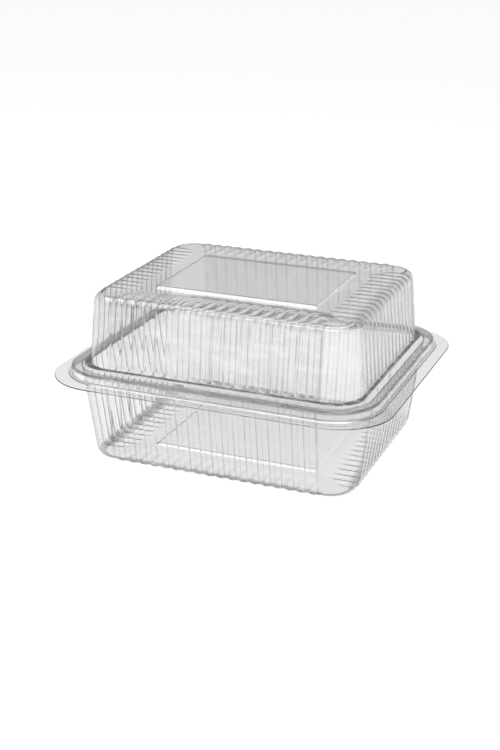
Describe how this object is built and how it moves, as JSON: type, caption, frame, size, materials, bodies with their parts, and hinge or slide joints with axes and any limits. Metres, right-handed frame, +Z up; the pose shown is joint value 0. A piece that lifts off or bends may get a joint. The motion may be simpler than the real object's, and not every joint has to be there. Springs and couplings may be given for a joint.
{
  "type": "clear ribbed food container with lid",
  "caption": "Clear thermoformed food box: a ribbed rectangular tray with a wide flange, and a ribbed domed lid that presses on to its rim.",
  "frame": {"origin": "centre of the bottom face of the closed box", "axes": "+X along the long side, +Y from the front to the back, +Z up"},
  "size_m": [0.1902, 0.1646, 0.094],
  "materials": {
    "clear_sheet": "clear colourless polyester sheet, glossy on both faces"
  },
  "bodies": {
    "tray": {"tray": "clear_sheet"},
    "lid": {"lid": "clear_sheet"}
  },
  "joints": [
    {"name": "lid_lift", "type": "slide", "parent": "tray", "child": "lid", "axis": [0, 0, 1], "range_m": [0, 0.06]}
  ]
}
